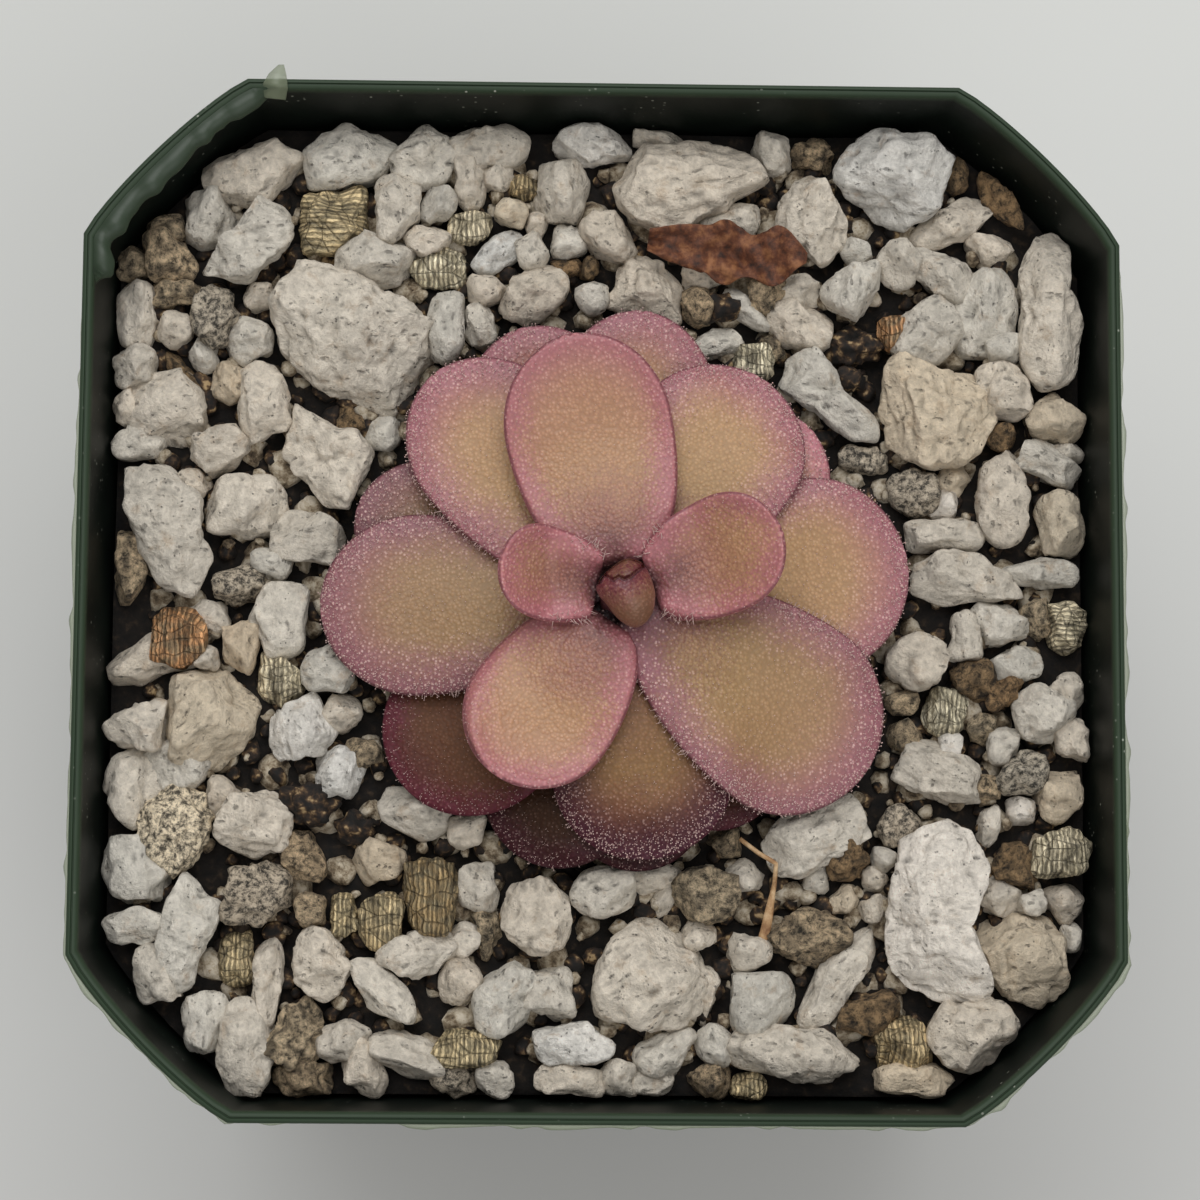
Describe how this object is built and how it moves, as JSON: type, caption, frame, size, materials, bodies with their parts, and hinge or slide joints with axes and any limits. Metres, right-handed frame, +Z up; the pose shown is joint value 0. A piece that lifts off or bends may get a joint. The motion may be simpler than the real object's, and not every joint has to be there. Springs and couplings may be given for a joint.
{
  "type": "potted butterwort",
  "caption": "Fleshy butterwort rosette with rounded leaves in a square plastic nursery pot filled with pumice and vermiculite grit.",
  "frame": {"origin": "on the surface that the pot stands on, under the middle of the pot", "axes": "+Z up along the pot, +X to the right and +Y away from the viewer as the picture looks down on it"},
  "size_m": [0.0762, 0.0762, 0.0711],
  "materials": {
    "pot": "dark green moulded plastic, satin, with white dust inside",
    "growing_mix": "gritty mix of pumice, vermiculite and dark crumbs",
    "stem": "dark rose fleshy stem",
    "bud": "smooth fleshy young leaves with a dark rose fold",
    "inner_leaf": "smooth fleshy blade, rose with a thin dark margin",
    "outer_leaf": "fleshy tan blade with rose margins and short shining hairs",
    "back_leaf": "fleshy dark purple blade with dense short hairs",
    "pumice": "pale pitted pumice, matt",
    "vermiculite": "brown layered vermiculite, glinting",
    "dead_leaf": "dry brown papery leaf",
    "dry_stalk": "dry tan stalk"
  },
  "bodies": {
    "root": {"bud": "bud", "crown": "stem", "dead_leaf": "dead_leaf", "dry_stalk": "dry_stalk", "growing_mix": "growing_mix", "leaf_01": "inner_leaf", "leaf_02": "inner_leaf", "leaf_03": "inner_leaf", "leaf_04": "inner_leaf", "leaf_05": "outer_leaf", "leaf_06": "outer_leaf", "leaf_07": "outer_leaf", "leaf_08": "outer_leaf", "leaf_09": "outer_leaf", "leaf_10": "outer_leaf", "leaf_11": "back_leaf", "leaf_12": "back_leaf", "leaf_13": "back_leaf", "leaf_14": "back_leaf", "leaf_15": "back_leaf", "leaf_16": "back_leaf", "leaf_17": "back_leaf", "leaf_18": "back_leaf", "leaf_19": "back_leaf", "pot": "pot", "pumice_01": "pumice", "pumice_02": "pumice", "pumice_03": "pumice", "pumice_04": "pumice", "pumice_05": "pumice", "pumice_06": "pumice", "pumice_07": "pumice", "pumice_08": "pumice", "pumice_09": "pumice", "pumice_10": "pumice", "pumice_11": "pumice", "pumice_12": "pumice", "pumice_13": "pumice", "pumice_14": "pumice", "pumice_15": "pumice", "pumice_16": "pumice", "pumice_17": "pumice", "pumice_18": "pumice", "pumice_19": "pumice", "pumice_20": "pumice", "pumice_21": "pumice", "pumice_22": "pumice", "pumice_23": "pumice", "pumice_24": "pumice", "pumice_25": "pumice", "pumice_26": "pumice", "pumice_27": "pumice", "vermiculite_01": "vermiculite"}
  },
  "joints": []
}
